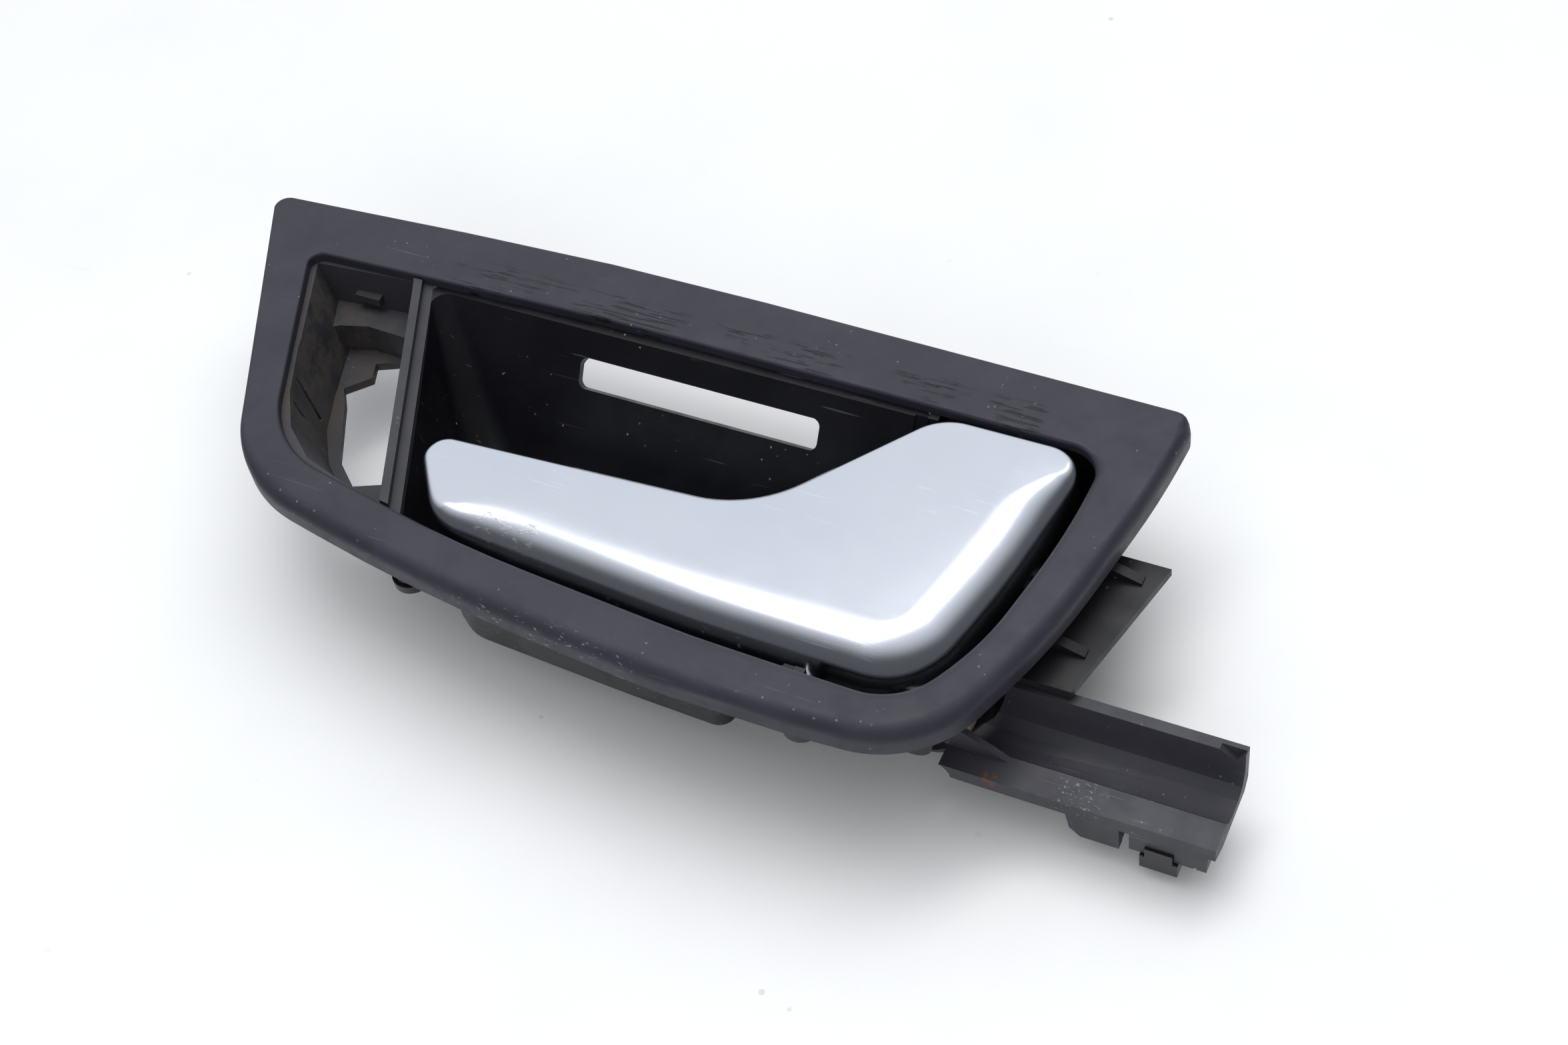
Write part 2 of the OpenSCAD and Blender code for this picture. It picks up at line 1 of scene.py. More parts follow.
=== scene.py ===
"""Looks of the interior door handle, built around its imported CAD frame.

Lengths in the outlines are millimetres from the bezel's own reference point:
+X towards the cable arm, +Y towards the straight top edge, +Z out of the face.
"""

import math

import bmesh
import bpy
from mathutils import Matrix, Vector


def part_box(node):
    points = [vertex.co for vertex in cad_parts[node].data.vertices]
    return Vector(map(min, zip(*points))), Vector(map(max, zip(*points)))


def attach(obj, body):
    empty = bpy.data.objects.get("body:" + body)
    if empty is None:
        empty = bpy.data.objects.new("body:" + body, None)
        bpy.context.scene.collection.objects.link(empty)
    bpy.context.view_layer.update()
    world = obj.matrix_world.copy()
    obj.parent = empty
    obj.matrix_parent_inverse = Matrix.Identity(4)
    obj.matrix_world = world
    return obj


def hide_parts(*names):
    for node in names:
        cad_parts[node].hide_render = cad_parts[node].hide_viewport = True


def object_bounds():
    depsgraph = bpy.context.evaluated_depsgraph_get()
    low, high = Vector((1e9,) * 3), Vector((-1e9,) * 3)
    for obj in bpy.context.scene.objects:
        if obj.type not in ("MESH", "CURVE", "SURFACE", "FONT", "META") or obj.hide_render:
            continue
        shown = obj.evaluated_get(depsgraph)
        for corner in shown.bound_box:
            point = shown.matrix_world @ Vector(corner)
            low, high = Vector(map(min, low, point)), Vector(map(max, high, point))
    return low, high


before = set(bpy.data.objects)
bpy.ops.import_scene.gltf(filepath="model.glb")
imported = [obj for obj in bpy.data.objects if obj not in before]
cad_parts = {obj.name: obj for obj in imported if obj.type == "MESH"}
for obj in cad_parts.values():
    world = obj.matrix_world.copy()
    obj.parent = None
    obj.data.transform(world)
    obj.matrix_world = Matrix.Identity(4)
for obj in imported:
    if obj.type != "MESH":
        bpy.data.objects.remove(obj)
cad_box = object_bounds()

MM = 0.001
# The arm's far end in X and the pin's top end in Y, from the reference point.
ARM_END = 119
PIN_TOP = 28.4
origin = Vector((
    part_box("cable_arm")[1].x - ARM_END * MM,
    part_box("hinge_pin")[1].y - PIN_TOP * MM,
    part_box("bezel")[1].z,
))


def at(x, y, z=0.0):
    """A point given in millimetres from the reference point, in the frame's metres."""
    return origin + Vector((x, y, z)) * MM


# ---------------------------------------------------------------- outlines
# Corners in order round each outline: x, y and the radius of the corner's arc.
BEZEL = [(-95, -46, 32), (-45, -56.6, 500), (20, -62.6, 300), (66.5, -60.5, 24),
         (79.5, -26, 150), (86.6, 14, 200), (87.9, 33.2, 4), (-46, 35.4, 1000),
         (-132.5, 30.4, 3)]
OPENING = [(-103, -10, 300), (-92, -35.6, 26), (-40, -45.8, 300), (15, -50.2, 300),
           (58, -51.2, 15), (67.6, -34, 60), (73.4, -4, 150), (74, 18.1, 7),
           (-40, 19.1, 900), (-114.3, 16.6, 2.6)]
LEVER = [(-59.6, -27, 4.6), (-49, -42, 12), (10, -46.4, 300), (60.2, -46.8, 17),
         (69, -12, 200), (71.4, 17, 7.6), (39.2, 17, 12), (12, -17.9, 26),
         (-57.6, -21.6, 4.6)]
ARC_STEP = math.radians(3)


def corner_arc(a, b, c):
    """Points of the arc that rounds corner b of the corners a, b, c."""
    p, q, s = Vector(a[:2]), Vector(b[:2]), Vector(c[:2])
    radius = b[2]
    u, v = (p - q).normalized(), (s - q).normalized()
    half = u.angle(v) / 2
    start = q + u * radius / math.tan(half)
    centre = q + (u + v).normalized() * radius / math.sin(half)
    turn = math.pi - 2 * half
    if u.cross(v) > 0:
        turn = -turn
    first = math.atan2(start.y - centre.y, start.x - centre.x)
    steps = max(2, 2 * math.ceil(abs(turn) / ARC_STEP / 2))
    return [centre + radius * Vector((math.cos(first + turn * i / steps),
                                      math.sin(first + turn * i / steps)))
            for i in range(steps + 1)]


def rounded(corners):
    """The arcs of a closed outline, one list of points per corner."""
    n = len(corners)
    return [corner_arc(corners[i - 1], corners[i], corners[(i + 1) % n]) for i in range(n)]


def along(points, count):
    """count points from the first to just before the last, denser at both ends."""
    steps = [(b - a).length for a, b in zip(points, points[1:])]
    total = sum(steps)
    result, k, gone = [], 0, 0.0
    for i in range(count):
        eased = total * (1 - math.cos(math.pi * i / count)) / 2
        even = total * i / count
        target = (eased + even) / 2
        while k < len(steps) - 1 and gone + steps[k] < target:
            gone += steps[k]
            k += 1
        t = (target - gone) / steps[k]
        result.append(points[k].lerp(points[k + 1], min(1, max(0, t))))
    return result


def sections(corners, anchors, counts):
    """The outline resampled between the middles of the anchor corners' arcs."""
    arcs = rounded(corners)
    n = len(corners)
    loop = []
    for k, first in enumerate(anchors):
        last = anchors[(k + 1) % len(anchors)]
        half = len(arcs[first]) // 2
        points = list(arcs[first][half:])
        i = (first + 1) % n
        while i != last:
            points += arcs[i]
            i = (i + 1) % n
        points += arcs[last][:len(arcs[last]) // 2 + 1]
        loop += along(points, counts[k])
    return loop


def outward(loop, i):
    """The direction out of a loop at its point i."""
    t = (loop[(i + 1) % len(loop)] - loop[i - 1]).normalized()
    return Vector((t.y, -t.x))


def smooth_step(v):
    """0 below 0, 1 above 1 and an S-shaped curve between."""
    v = min(1.0, max(0.0, v))
    return v * v * (3 - 2 * v)


# ---------------------------------------------------------------- mesh helpers
SHARP_ANGLE = math.radians(40)


def finish_mesh(name, bm, body, stands_for, material):
    """Turns bm into a piece that rides on body and stands for a CAD node."""
    bmesh.ops.recalc_face_normals(bm, faces=bm.faces)
    mesh = bpy.data.meshes.new(name)
    bm.to_mesh(mesh)
    bm.free()
    mesh.shade_smooth()
    mesh.set_sharp_from_angle(angle=SHARP_ANGLE)
    piece = bpy.data.objects.new(name, mesh)
    bpy.context.scene.collection.objects.link(piece)
    mesh.materials.append(material)
    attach(piece, body)
    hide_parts(stands_for)
    return piece


def bridge(bm, a, b):
    """Quads between two rings with equal point counts."""
    n = len(a)
    for i in range(n):
        bm.faces.new((a[i], a[(i + 1) % n], b[(i + 1) % n], b[i]))


def bridge_all(bm, rings, closed=False):
    """Adds the rings and joins each to the next, and the last to the first if closed."""
    made = [[bm.verts.new(p) for p in ring] for ring in rings]
    for a, b in zip(made, made[1:]):
        bridge(bm, a, b)
    if closed:
        bridge(bm, made[-1], made[0])
    return made


def tube(bm, x, y, z0, z1, outer, inner, steps=40, edge=0.3):
    """A boss: closed tube along Z with a softened lower rim."""
    profile = [(inner, z0 + edge), (inner + edge, z0), (outer - edge, z0), (outer, z0 + edge),
               (outer, z1), (inner, z1)]
    rings = [[at(x + r * math.cos(2 * math.pi * k / steps),
                 y + r * math.sin(2 * math.pi * k / steps), z) for k in range(steps)]
             for r, z in profile]
    bridge_all(bm, rings, closed=True)


# ---------------------------------------------------------------- bezel
BEZEL_T = 6
BEZEL_WALL = 2.4
SIDE_FACE = 1
# Width and drop of the rolled edges: where they face up or left, then down or right.
OUTER_TIGHT, OUTER_WIDE = (1.1, 0.8), (4.2, 3.0)
INNER_TIGHT, INNER_WIDE = (1.0, 0.7), (2.6, 1.5)
# Corners that face each other across the rim, and the points from each to the next.
BEZEL_ANCHORS = [0, 1, 2, 3, 6, 7, 8]
OPENING_ANCHORS = [1, 2, 3, 4, 7, 8, 9]
SECTION_POINTS = [48, 44, 44, 64, 72, 60, 100]
# Tubes behind the face: where they stand, then their lower end, outer and inner radius.
TOWERS = [(-72, 28), (26, 28)]
TOWER_END, TOWER_R, TOWER_HOLE_R = -20, 4.75, 2.75
BOSSES = [(-100, 25.5), (-45, 26.5), (10, 26.5), (80, 26.5), (-50, -51.2), (40, -56.5)]
BOSS_END, BOSS_R, BOSS_HOLE_R = -8, 3.2, 1.4
TUBE_ROOT = 0.3


def make_bezel(material):
    """The trim ring: rolled outer and inner edges, hollow behind, with its tubes."""
    outer = sections(BEZEL, BEZEL_ANCHORS, SECTION_POINTS)
    inner = sections(OPENING, OPENING_ANCHORS, SECTION_POINTS)

    faces_low = [smooth_step(0.5 + (outward(outer, i).x - outward(outer, i).y) * 0.9)
                 for i in range(len(outer))]

    def ring(share, z):
        """Loop at that share of the way from the outer edge to the opening."""
        return [at(*a.lerp(b, share), z) for a, b in zip(outer, inner)]

    def roll(angle, tight, wide, from_inside):
        """Loop at an angle up a rolled edge that is tight or wide by where it faces."""
        points = []
        for p, q, low in zip(outer, inner, faces_low):
            width, drop = (t + (w - t) * low for t, w in zip(tight, wide))
            share = width / (q - p).length * (1 - math.cos(angle))
            points.append(at(*p.lerp(q, 1 - share if from_inside else share),
                             -drop * (1 - math.sin(angle))))
        return points

    def inset(distance, z):
        """Loop that distance inside the outer edge."""
        return [at(*(p - distance * outward(outer, i)), z) for i, p in enumerate(outer)]

    rolls = [math.radians(d) for d in range(0, 91, 9)]
    rings = [ring(0, -BEZEL_T), ring(0, -BEZEL_T + SIDE_FACE)]
    rings += [roll(a, OUTER_TIGHT, OUTER_WIDE, False) for a in rolls]
    rings += [roll(a, INNER_TIGHT, INNER_WIDE, True) for a in reversed(rolls)]
    rings += [ring(1, -BEZEL_WALL)]
    rings += [inset(BEZEL_WALL, -BEZEL_WALL), inset(BEZEL_WALL, -BEZEL_T)]
    bm = bmesh.new()
    bridge_all(bm, rings, closed=True)
    for x, y in BOSSES:
        tube(bm, x, y, BOSS_END, -BEZEL_WALL + TUBE_ROOT, BOSS_R, BOSS_HOLE_R)
    for x, y in TOWERS:
        tube(bm, x, y, TOWER_END, -BEZEL_WALL + TUBE_ROOT, TOWER_R, TOWER_HOLE_R, edge=0.5)
    # The CAD's arcs are coarser than these, so its lowest edge lies a little higher.
    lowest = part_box("bezel")[0].y
    for vert in bm.verts:
        vert.co.y = max(vert.co.y, lowest)
    return finish_mesh("bezel_trim", bm, "frame", "bezel", material)


# ---------------------------------------------------------------- lever cover
COVER_T = 9.5
COVER_WALL = 2.0
# Depth and width of the rolled edge, at its tightest and at its fullest.
ROLL_SMALL, ROLL_BIG = (1.4, 1.6), (7.4, 12.0)
# The least depth or width left on the inside, and how often fullness is averaged.
TIGHTEST = 0.4
FULLNESS_PASSES = 24
# From nothing at the top edge, and at the tongue's tip, the roll grows over these lengths.
TOP_EDGE, TOP_FADE = 17, 20
TIP_EDGE, TIP_FADE = -60, 30
LEVER_SECTION_POINTS = [18, 44, 40, 46, 40, 30, 40, 46, 12]
# Screw posts under the cover: where they stand, then lower end, outer and inner radius.
POSTS = [(-38, -31), (8, -30)]
POST_END, POST_R, POST_HOLE_R = -6, 2.8, 1.4


def lever_fullness(point, normal):
    """How full the edge's roll is: 1 along the lower and right edges, 0 at the finger edge."""
    side = smooth_step((normal.x * 0.6 - normal.y * 0.8 + 0.1) / 0.6)
    low = smooth_step((TOP_EDGE - point.y) / TOP_FADE)
    right = smooth_step((point.x - TIP_EDGE) / TIP_FADE)
    return side * low * right


def make_lever_cover(material):
    """The lever's shell: a thin cover whose edge rolls tight or full, and its posts."""
    loop = sections(LEVER, list(range(len(LEVER))), LEVER_SECTION_POINTS)
    normals = [outward(loop, i) for i in range(len(loop))]
    fullness = [lever_fullness(p, n) for p, n in zip(loop, normals)]
    for _ in range(FULLNESS_PASSES):
        fullness = [(fullness[i - 1] + 2 * f + fullness[(i + 1) % len(loop)]) / 4
                    for i, f in enumerate(fullness)]

    def skin(angle, depth):
        """Loop at an angle up the rolled edge, at a depth below the cover's outside."""
        ring = []
        for p, n, full in zip(loop, normals, fullness):
            drop, width = (a + (b - a) * full for a, b in zip(ROLL_SMALL, ROLL_BIG))
            drop, width = max(drop - depth, TIGHTEST), max(width - depth, TIGHTEST)
            q = p - (depth + width * (1 - math.cos(angle))) * n
            ring.append(at(q.x, q.y, -depth - drop * (1 - math.sin(angle))))
        return ring

    def flat_ring(depth, z):
        """Loop that depth inside the cover's side, at one height."""
        return [at(*(p - depth * n), z) for p, n in zip(loop, normals)]

    rolls = [math.radians(7.5 * k) for k in range(13)]
    rings = [skin(a, COVER_WALL) for a in reversed(rolls)]
    rings += [flat_ring(COVER_WALL, -COVER_T), flat_ring(0, -COVER_T)]
    rings += [skin(a, 0) for a in rolls]
    bm = bmesh.new()
    made = bridge_all(bm, rings)
    bm.faces.new(made[0])
    bm.faces.new(made[-1])
    for x, y in POSTS:
        tube(bm, x, y, POST_END, -COVER_WALL + TUBE_ROOT, POST_R, POST_HOLE_R)
    return finish_mesh("lever_skin", bm, "lever", "lever_cover", material)


# ---------------------------------------------------------------- materials
class Surface:
    """One material's node tree, with short ways to add to it."""

    def __init__(self, name, color, roughness, metallic=0.0, specular=0.5):
        self.material = bpy.data.materials.new(name)
        self.material.use_nodes = True
        self.tree = self.material.node_tree
        self.shader = self.tree.nodes["Principled BSDF"]
        self.shader.inputs["Base Color"].default_value = (*color, 1)
        self.shader.inputs["Roughness"].default_value = roughness
        self.shader.inputs["Metallic"].default_value = metallic
        self.shader.inputs["Specular IOR Level"].default_value = specular
        self.color, self.roughness = color, roughness
        self.place = self.tree.nodes.new("ShaderNodeTexCoord").outputs["Object"]
        self.normal = None

    def node(self, kind, links=(), **values):
        """Adds a node, with its inputs linked or set, and its own settings."""
        made = self.tree.nodes.new(kind)
        for key, value in values.items():
            setattr(made, key, value)
        for socket, source in dict(links).items():
            if isinstance(source, bpy.types.NodeSocket):
                self.tree.links.new(source, made.inputs[socket])
            else:
                made.inputs[socket].default_value = source
        return made

    def mapped(self, stretch, turn):
        """Object coordinates turned about Z by turn degrees and stretched."""
        return self.node("ShaderNodeMapping",
                         {"Vector": self.place, "Scale": stretch,
                          "Rotation": (0, 0, math.radians(turn))}).outputs["Vector"]

    def noise(self, scale, detail=3.0, roughness=0.5, stretch=(1, 1, 1), turn=0):
        """Noise from 0 to 1, with scale in waves per metre."""
        return self.node("ShaderNodeTexNoise",
                         {"Vector": self.mapped(stretch, turn), "Scale": scale,
                          "Detail": detail, "Roughness": roughness}).outputs["Fac"]

    def cells(self, scale):
        """Distance to the nearest of many scattered points, scale of them per metre."""
        return self.node("ShaderNodeTexVoronoi",
                         {"Vector": self.place, "Scale": scale}).outputs["Distance"]

    def fade(self, source, low, high):
        """source carried smoothly from 0 at low to 1 at high."""
        return self.node("ShaderNodeMapRange",
                         {"Value": source, "From Min": low, "From Max": high},
                         interpolation_type="SMOOTHSTEP").outputs["Result"]

    def combine(self, operation, masks):
        """Takes the masks together two by two with a math operation."""
        result = masks[0]
        for mask in masks[1:]:
            result = self.node("ShaderNodeMath", {0: result, 1: mask}, operation=operation,
                               use_clamp=True).outputs["Value"]
        return result

    def times(self, *masks):
        """Where all masks hold, or one of them weakened by a number."""
        return self.combine("MULTIPLY", masks)

    def most(self, *masks):
        """Where any of the masks holds."""
        return self.combine("MAXIMUM", masks)

    def inverse(self, mask):
        """1 where the mask is 0, and 0 where it is 1."""
        return self.combine("SUBTRACT", (1.0, mask))

    def zone(self, low, high, soft=4.0):
        """1 inside the box between two millimetre points, falling to 0 over soft mm."""
        parts = self.node("ShaderNodeSeparateXYZ", {"Vector": self.place})
        a, b = at(*low), at(*high)
        sides = []
        for k, axis in enumerate("XYZ"):
            value = parts.outputs[axis]
            sides.append(self.fade(value, a[k] - soft * MM, a[k]))
            sides.append(self.fade(value, b[k] + soft * MM, b[k]))
        return self.times(*sides)

    def streaks(self, turn, width=900, length=60, keep=0.66):
        """Thin straight scratches that run at an angle to X."""
        lines = self.noise(1.0, 2, 0.4, stretch=(length, width, width * 0.4), turn=turn)
        return self.fade(lines, keep, keep + 0.04)

    def tint(self, mask, color):
        """Mixes a colour over what is there, by mask."""
        socket = self.shader.inputs["Base Color"]
        below = socket.links[0].from_socket if socket.links else (*self.color, 1)
        mix = self.node("ShaderNodeMix", {0: mask, 6: below, 7: (*color, 1)},
                        data_type="RGBA")
        self.tree.links.new(mix.outputs[2], socket)

    def polish(self, mask, roughness):
        """Changes the roughness by mask."""
        socket = self.shader.inputs["Roughness"]
        below = socket.links[0].from_socket if socket.links else self.roughness
        mix = self.node("ShaderNodeMix", {0: mask, 2: below, 3: roughness})
        self.tree.links.new(mix.outputs[0], socket)

    def relief(self, height, depth):
        """Adds bumps: height from 0 to 1 stands for depth millimetres."""
        links = {"Height": height, "Distance": depth * MM, "Strength": 1.0}
        if self.normal:
            links["Normal"] = self.normal
        self.normal = self.node("ShaderNodeBump", links).outputs["Normal"]
        self.tree.links.new(self.normal, self.shader.inputs["Normal"])


def moulded(name, color, roughness, grain=0.02, grain_scale=2600, dust=0.35, specular=0.5):
    """Moulded plastic: fine spark grain, cloudy tone, a little dust."""
    s = Surface(name, color, roughness, specular=specular)
    cloud = s.noise(45, 4, 0.6)
    s.tint(s.fade(cloud, 0.35, 0.75), tuple(c * 1.25 + 0.002 for c in color))
    s.polish(s.fade(s.noise(130, 3, 0.6), 0.4, 0.7), min(1, roughness + 0.12))
    speck = s.times(s.fade(s.cells(420), 0.13, 0.06), s.fade(s.noise(60), 0.52, 0.62))
    s.tint(s.times(speck, dust), (0.42, 0.4, 0.37))
    s.relief(s.noise(grain_scale, 2, 0.6), grain)
    return s


def soft_trim():
    """The bezel's soft paint, with gouges along the top band and rubbed lower edge."""
    s = moulded("soft_trim", (0.0245, 0.0245, 0.036), 0.44, grain=0.012, grain_scale=3200,
                dust=0.3, specular=0.38)
    band = s.zone((-78, 17.8, -3), (58, 24.5, 1), 2.5)
    patches = s.fade(s.noise(55, 3, 0.6), 0.43, 0.56)
    lines = s.most(s.streaks(-9, 1500, 70, 0.6), s.streaks(-24, 1300, 90, 0.62),
                   s.streaks(28, 1400, 110, 0.64))
    gouges = s.times(band, patches, lines)
    s.tint(gouges, (0.008, 0.008, 0.010))
    s.relief(s.inverse(gouges), 0.10)
    hair = s.times(s.streaks(14, 1900, 45, 0.7), s.fade(s.noise(30), 0.5, 0.65))
    s.tint(s.times(hair, 0.35), (0.16, 0.16, 0.18))
    rub = s.times(s.zone((-46, -64, -6), (6, -57.5, -1.5), 2),
                  s.fade(s.noise(1500, 4, 0.7, stretch=(0.4, 1, 1)), 0.6, 0.68))
    s.tint(s.times(rub, 0.45), (0.4, 0.4, 0.42))
    return s.material


def recess_black():
    """Smooth black plastic of the finger recess, with hairlines."""
    s = moulded("recess_black", (0.0035, 0.0035, 0.0055), 0.34, grain=0.004, grain_scale=1800,
                dust=0.5, specular=0.35)
    hair = s.times(s.streaks(35, 1500, 40, 0.69), s.fade(s.noise(40), 0.5, 0.62))
    s.tint(s.times(hair, 0.22), (0.2, 0.2, 0.22))
    s.polish(hair, 0.5)
    return s.material


def collar_grey():
    """Grey plastic of the switch collar, with dust low in its pocket."""
    s = moulded("collar_grey", (0.03, 0.03, 0.037), 0.5, grain=0.016)
    pocket = s.zone((-112, -36, -21), (-93, 12, -3), 3)
    dust = s.times(pocket, s.fade(s.noise(160, 5, 0.7), 0.38, 0.62))
    s.tint(s.times(dust, 0.55), (0.085, 0.068, 0.054))
    s.polish(dust, 0.9)
    return s.material


def arm_grey():
    """Grey plastic of the cable arm, with a rubbed patch, a rusty flake and wear."""
    s = moulded("arm_grey", (0.034, 0.034, 0.043), 0.48, grain=0.014, dust=0.3)
    rub = s.times(s.zone((88, -50, -24), (95, -44, -20), 2.5),
                  s.fade(s.noise(1500, 5, 0.7, stretch=(0.6, 1, 1)), 0.56, 0.66))
    s.tint(s.times(rub, 0.5), (0.45, 0.45, 0.47))
    flake = s.times(s.zone((73, -49.5, -24), (75, -47.5, -20), 0.8),
                    s.fade(s.noise(900), 0.45, 0.52))
    s.tint(flake, (0.11, 0.045, 0.02))
    worn = s.times(s.streaks(3, 1600, 50, 0.66), s.fade(s.noise(50), 0.45, 0.6))
    s.tint(s.times(worn, 0.4), (0.15, 0.15, 0.16))
    return s.material


def satin_plating():
    """Satin plating of the lever, with hairlines, specks and a scuff near the tip."""
    s = Surface("satin_plating", (0.60, 0.625, 0.685), 0.19, metallic=1.0)
    cloud = s.noise(28, 3, 0.55)
    s.tint(s.fade(cloud, 0.35, 0.75), (0.578, 0.605, 0.668))
    s.polish(s.fade(s.noise(90, 5, 0.65), 0.35, 0.7), 0.21)
    hair = s.times(s.most(s.streaks(22, 2600, 40, 0.69), s.streaks(-58, 2600, 50, 0.71)),
                   s.fade(s.noise(35), 0.42, 0.6))
    s.polish(hair, 0.45)
    edge = s.most(s.zone((-60, -48, -12), (64, -41.5, -2.2), 2.5),
                  s.zone((64, -48, -12), (74, 16, -2.2), 2.5))
    specks = s.times(edge, s.fade(s.cells(1500), 0.16, 0.08), s.fade(s.noise(200), 0.52, 0.65))
    s.tint(s.times(specks, 0.4), (0.2, 0.2, 0.22))
    scuff = s.times(s.zone((-39, -41.5, -6), (-27, -37.0, 1), 1.5),
                    s.fade(s.noise(700, 4, 0.7, stretch=(0.5, 1, 1)), 0.54, 0.64))
    s.tint(s.times(scuff, 0.45), (0.5, 0.49, 0.47))
    s.polish(s.times(scuff, 0.6), 0.6)
    s.relief(s.noise(60, 2, 0.5), 0.008)
    s.relief(hair, 0.002)
    s.relief(scuff, 0.01)
    return s.material


def rusted_steel(name, color, roughness, waves, rust):
    """Steel with fine marks, waves per metre along each axis, and rust above a level."""
    s = Surface(name, color, roughness, metallic=1.0)
    marks = s.noise(1.0, 3, 0.6, stretch=waves)
    s.polish(s.fade(marks, 0.3, 0.7), min(1, roughness + 0.2))
    s.tint(s.fade(s.noise(220, 4, 0.7), 0.5, 0.75), tuple(c * 0.6 for c in color))
    s.relief(marks, 0.004)
    bloom = s.fade(s.noise(330, 6, 0.75), rust, rust + 0.08)
    s.tint(bloom, (0.16, 0.055, 0.018))
    s.polish(bloom, 0.95)
    s.relief(bloom, 0.03)
    return s.material


MATERIALS = {
    "soft_trim": soft_trim(),
    "gloss_black": recess_black(),
    "collar_grey": collar_grey(),
    "bracket_black": moulded("bracket_black", (0.008, 0.008, 0.0095), 0.46, grain=0.014,
                             dust=0.25).material,
    "arm_grey": arm_grey(),
    "latch_black": moulded("latch_black", (0.008, 0.008, 0.009), 0.16, grain=0.002).material,
    "satin_plating": satin_plating(),
    "core_black": moulded("core_black", (0.010, 0.010, 0.012), 0.5, grain=0.012).material,
    "natural_nylon": moulded("natural_nylon", (0.6, 0.57, 0.47), 0.42, grain=0.006,
                             dust=0.1).material,
    "bush_nylon": moulded("bush_nylon", (0.72, 0.7, 0.62), 0.4, grain=0.004, dust=0.1).material,
    "rubber": moulded("rubber", (0.012, 0.012, 0.012), 0.8, grain=0.03, grain_scale=1500,
                      specular=0.3).material,
    "bright_steel": rusted_steel("bright_steel", (0.5, 0.49, 0.47), 0.28, (900, 40, 900), 0.6),
    "spring_steel": rusted_steel("spring_steel", (0.2, 0.2, 0.21), 0.4, (700, 700, 700), 0.68),
    "screw_steel": rusted_steel("screw_steel", (0.46, 0.44, 0.38), 0.34, (600, 600, 600), 0.66),
}

NODE_SLOTS = {
    "recess_bowl": "gloss_black", "switch_collar": "collar_grey",
    "bearing_bracket": "bracket_black", "cable_arm": "arm_grey",
    "cable_retainer": "latch_black", "lever_core": "core_black",
    "cable_crank": "natural_nylon", "hinge_pin": "bright_steel", "pin_clip": "spring_steel",
    "upper_bush": "bush_nylon", "lower_bush": "bush_nylon", "spring_sleeve": "bush_nylon",
    "return_spring": "spring_steel", "rest_buffer": "rubber", "open_buffer": "rubber",
    "bezel_screws": "screw_steel", "bracket_screws": "screw_steel",
    "arm_screws": "screw_steel", "lever_screws": "screw_steel",
}
# Width of the mouldings' softened edges, and how far apart points are welded.
SOFT_EDGES = {"recess_bowl": 0.5, "switch_collar": 0.35, "bearing_bracket": 0.3,
              "cable_arm": 0.3, "cable_retainer": 0.2, "lever_core": 0.3, "cable_crank": 0.3}
WELD_WITHIN = 0.002
# Faces within the first angle are one flat face. Edges past the second are softened.
FLAT_WITHIN = math.radians(0.5)
EDGE_FROM = math.radians(28)


def dress_node(name):
    """Gives a CAD node its material, and soft edges where it is a moulding."""
    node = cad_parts[name]
    node.data.materials.clear()
    node.data.materials.append(MATERIALS[NODE_SLOTS[name]])
    if "custom_normal" in node.data.attributes:
        node.data.attributes.remove(node.data.attributes["custom_normal"])
    node.data.shade_smooth()
    weld = node.modifiers.new("weld", "WELD")
    weld.merge_threshold = WELD_WITHIN * MM
    flat = node.modifiers.new("flat", "DECIMATE")
    flat.decimate_type = "DISSOLVE"
    flat.angle_limit = FLAT_WITHIN
    if name in SOFT_EDGES:
        bevel = node.modifiers.new("edges", "BEVEL")
        bevel.width = SOFT_EDGES[name] * MM
        bevel.segments = 2
        bevel.limit_method = "ANGLE"
        bevel.angle_limit = EDGE_FROM
        bevel.harden_normals = True
    split = node.modifiers.new("split", "EDGE_SPLIT")
    split.split_angle = SHARP_ANGLE


# ---------------------------------------------------------------- stage
FLOOR_HALF = 8.0
# The camera's place and aim in millimetres from the reference point, its roll and lens.
CAMERA_PLACE, CAMERA_AIM = (181.0, -270.8, 361.4), (20.45, -19.55, 0)
CAMERA_ROLL = math.radians(-10.3)
LENS, SENSOR = 54.4, 36


def make_floor():
    """Pale table top with a few faint marks, under the lowest point of the handle."""
    s = Surface("table", (0.86, 0.865, 0.87), 0.45)
    s.tint(s.fade(s.noise(9, 4, 0.6), 0.4, 0.75), (0.82, 0.825, 0.835))
    marks = s.times(s.streaks(33, 420, 14, 0.72), s.fade(s.noise(12), 0.5, 0.62))
    s.tint(s.times(marks, 0.18), (0.5, 0.42, 0.34))
    specks = s.times(s.fade(s.cells(55), 0.05, 0.03), s.fade(s.noise(7), 0.52, 0.6))
    s.tint(s.times(specks, 0.35), (0.4, 0.34, 0.26))
    bm = bmesh.new()
    bmesh.ops.create_grid(bm, x_segments=4, y_segments=4, size=FLOOR_HALF)
    mesh = bpy.data.meshes.new("table")
    bm.to_mesh(mesh)
    bm.free()
    mesh.materials.append(s.material)
    floor = bpy.data.objects.new("table", mesh)
    floor.location = (0, 0, cad_box[0].z)
    bpy.context.scene.collection.objects.link(floor)


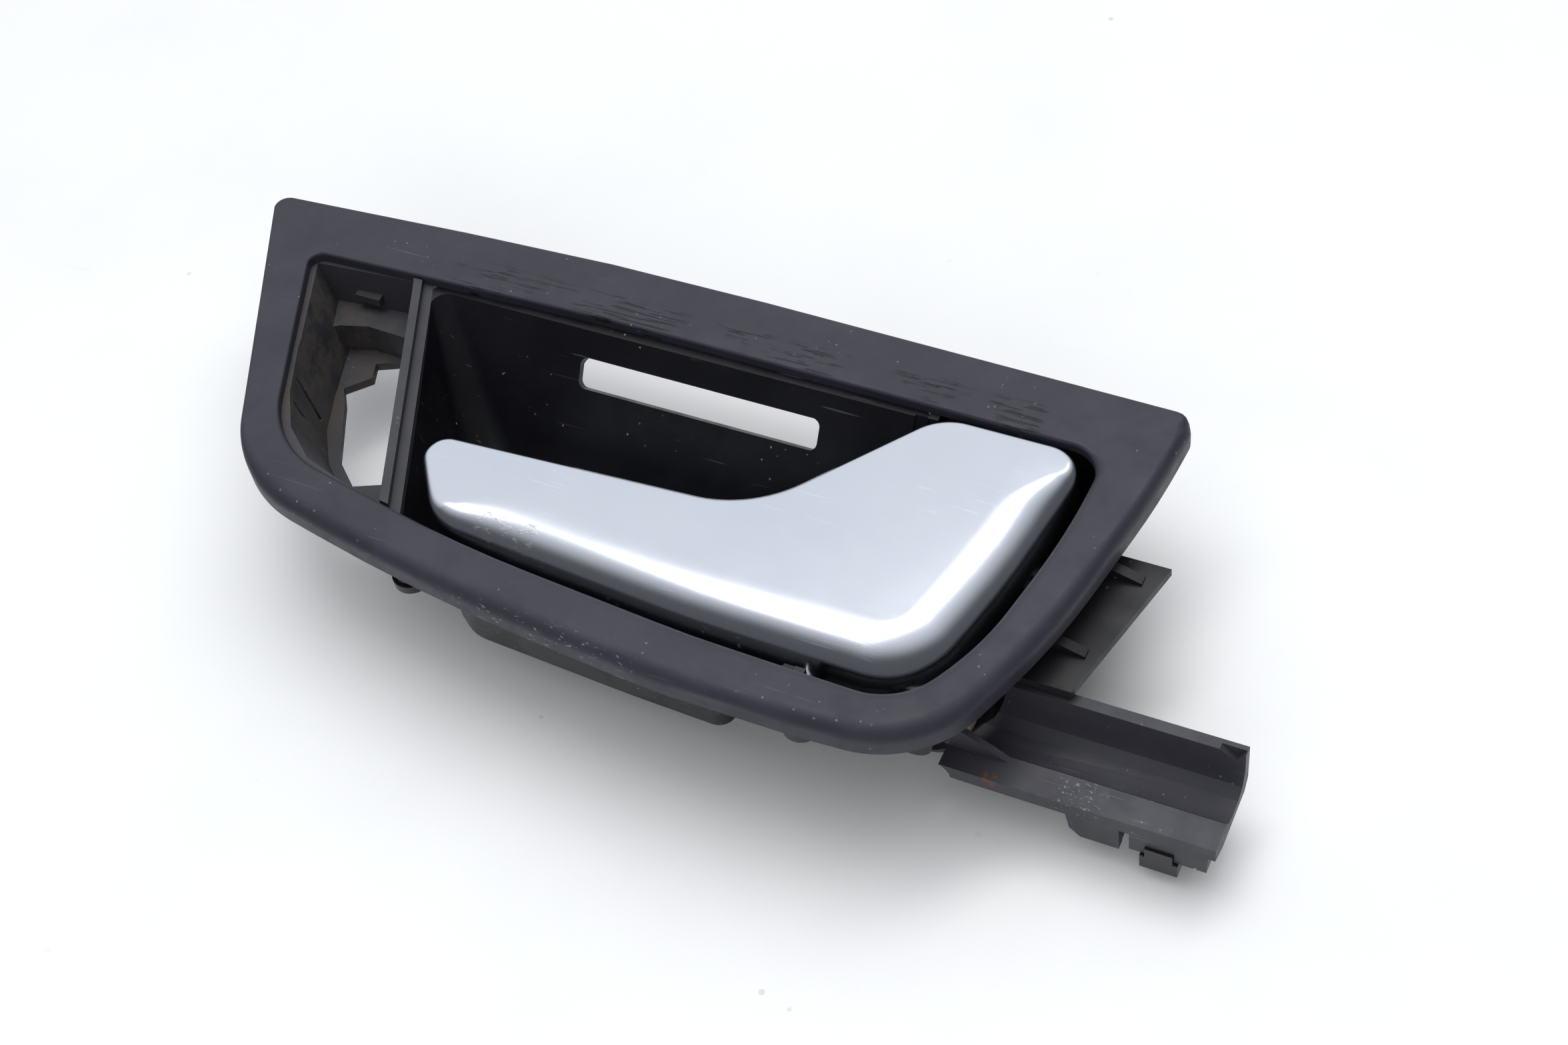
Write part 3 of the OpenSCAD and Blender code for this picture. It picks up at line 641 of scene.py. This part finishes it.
def make_camera():
    """Camera at the photograph's angle, aimed at the handle's face."""
    place, aim = at(*CAMERA_PLACE), at(*CAMERA_AIM)
    back = (place - aim).normalized()
    level = Vector((0, 0, 1)).cross(back).normalized()
    tilt = Matrix.Rotation(CAMERA_ROLL, 3, back)
    right = tilt @ level
    up = back.cross(right)
    data = bpy.data.cameras.new("camera")
    data.lens, data.sensor_width = LENS, SENSOR
    camera = bpy.data.objects.new("camera", data)
    turn = Matrix((right, up, back)).transposed().to_4x4()
    camera.matrix_world = Matrix.Translation(place) @ turn
    bpy.context.scene.collection.objects.link(camera)
    bpy.context.scene.camera = camera


# Where the studio is brightest, and how bright it is there and on the far side.
BRIGHT_SIDE = Vector((-0.32, 0.52, 0.79)).normalized()
BRIGHT, DIM = 1.08, 0.13
# How nearly a direction points there where the light starts to rise, and where it is full.
RISE_FROM, FULL_FROM = 0.42, 0.92
SKY = (0.93, 0.96, 1.0)
SOFTBOX_WHITE, FILL_WHITE = (1, 0.99, 0.97), (0.98, 0.99, 1)


def area_light(name, place, aim, lengthwise, size, power, color):
    """Rectangular light whose long side runs along a direction."""
    data = bpy.data.lights.new(name, "AREA")
    data.shape = "RECTANGLE"
    data.size, data.size_y = size
    data.energy = power
    data.color = color
    light = bpy.data.objects.new(name, data)
    back = (Vector(place) - Vector(aim)).normalized()
    across = back.cross(Vector(lengthwise)).normalized()
    turn = Matrix((across.cross(back), across, back)).transposed().to_4x4()
    light.matrix_world = Matrix.Translation(place) @ turn
    bpy.context.scene.collection.objects.link(light)
    return light


def make_light():
    """Studio that is bright overhead and behind the handle, a softbox and soft fills."""
    world = bpy.data.worlds.new("studio")
    world.use_nodes = True
    nodes, links = world.node_tree.nodes, world.node_tree.links
    sky = nodes["Background"]
    direction = nodes.new("ShaderNodeTexCoord")
    toward = nodes.new("ShaderNodeVectorMath")
    toward.operation = "DOT_PRODUCT"
    toward.inputs[1].default_value = BRIGHT_SIDE
    links.new(direction.outputs["Generated"], toward.inputs[0])
    ramp = nodes.new("ShaderNodeMapRange")
    ramp.interpolation_type = "SMOOTHSTEP"
    for socket, value in (("From Min", RISE_FROM), ("From Max", FULL_FROM),
                          ("To Min", DIM), ("To Max", BRIGHT)):
        ramp.inputs[socket].default_value = value
    links.new(toward.outputs["Value"], ramp.inputs["Value"])
    links.new(ramp.outputs["Result"], sky.inputs["Strength"])
    sky.inputs["Color"].default_value = (*SKY, 1)
    bpy.context.scene.world = world
    area_light("softbox", (-0.07, 0.27, 0.85), (0, 0, 0), (0.62, 0.79, 0), (0.95, 0.24), 2.2,
               SOFTBOX_WHITE)
    fills = [area_light("fill", (0.05, 0.0, 1.3), (0, 0, 0), (1, 0, 0), (1.6, 1.6), 8.5,
                        FILL_WHITE),
             area_light("front_fill", (0.25, -0.95, 0.55), (0.02, -0.03, 0), (1, 0, 0),
                        (1.3, 0.8), 4.5, FILL_WHITE)]
    for fill in fills:
        fill.visible_glossy = False


make_camera()
make_light()
make_floor()
make_bezel(MATERIALS["soft_trim"])
make_lever_cover(MATERIALS["satin_plating"])
for node_name in NODE_SLOTS:
    dress_node(node_name)
bpy.context.scene.view_settings.view_transform = "Standard"
